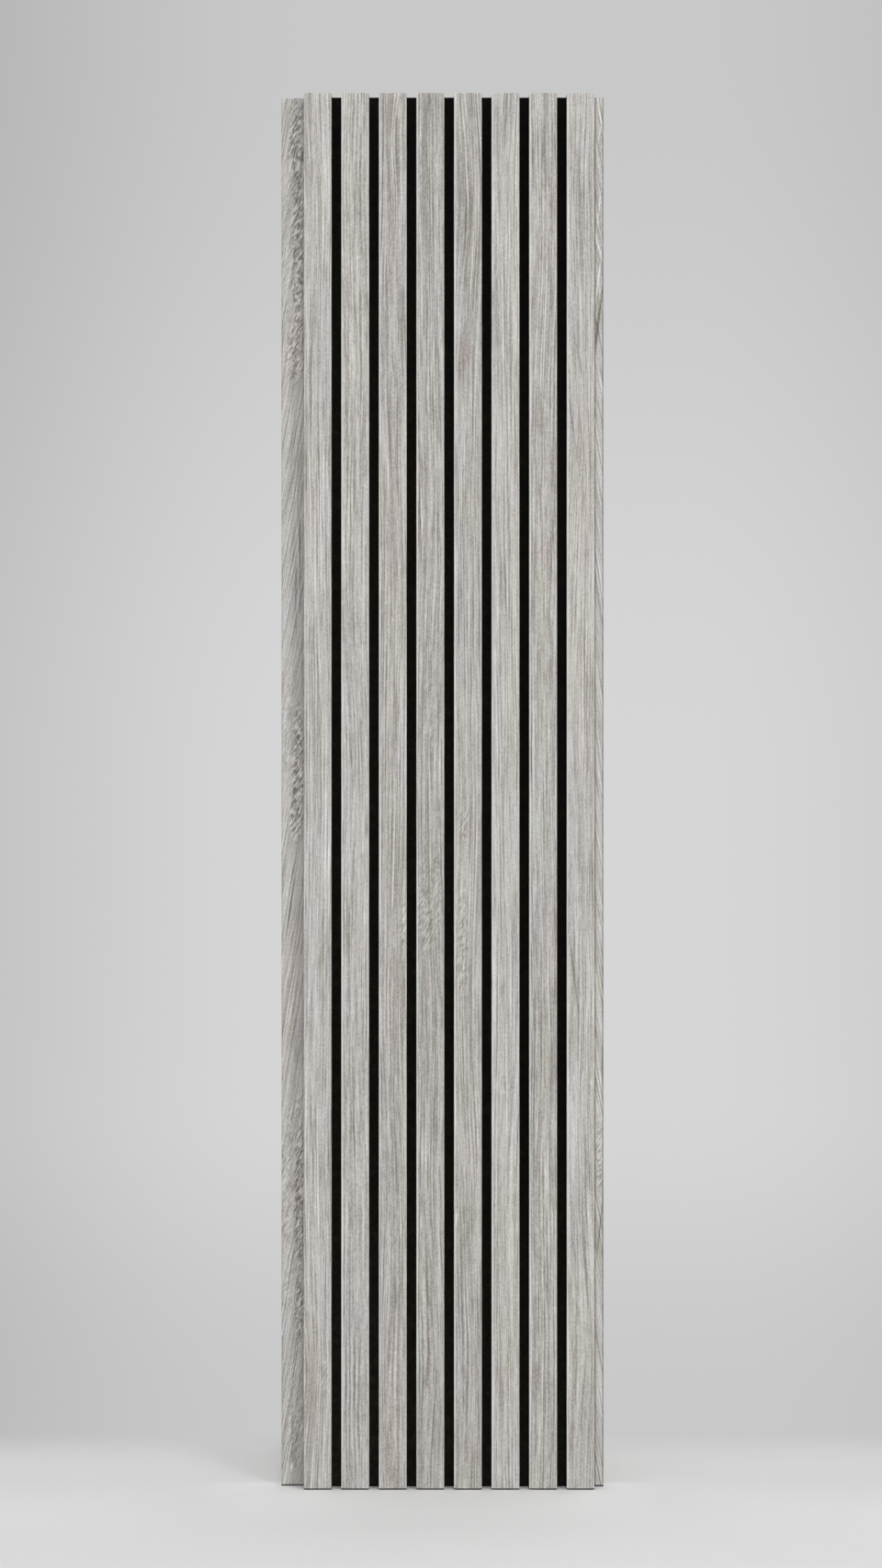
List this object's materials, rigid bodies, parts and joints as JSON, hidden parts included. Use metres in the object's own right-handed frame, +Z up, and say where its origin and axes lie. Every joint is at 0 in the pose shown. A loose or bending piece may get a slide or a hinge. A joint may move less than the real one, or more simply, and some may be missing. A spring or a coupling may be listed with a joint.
{
  "type": "slatted wall panel",
  "caption": "Slatted wall panel: upright grey-oak slats on a carrier board with black felt in the grooves and a lap joint down its long sides.",
  "frame": {"origin": "middle of the back face, which lies against the wall, half way up the panel and half way across from the tongue's nose to the lip's edge", "axes": "+Z up along the slats, +X across the panel from the tongue to the lip, +Y out of the back face into the wall; the slats face -Y"},
  "size_m": [0.3014, 0.021, 1.3],
  "materials": {
    "oak_board": "matte",
    "oak_slat": "matte",
    "black_felt": "matte"
  },
  "bodies": {
    "root": {"carrier_board": "oak_board", "felt_backing": "black_felt", "slat_1": "oak_slat", "slat_2": "oak_slat", "slat_3": "oak_slat", "slat_4": "oak_slat", "slat_5": "oak_slat", "slat_6": "oak_slat", "slat_7": "oak_slat", "slat_8": "oak_slat"}
  },
  "joints": []
}
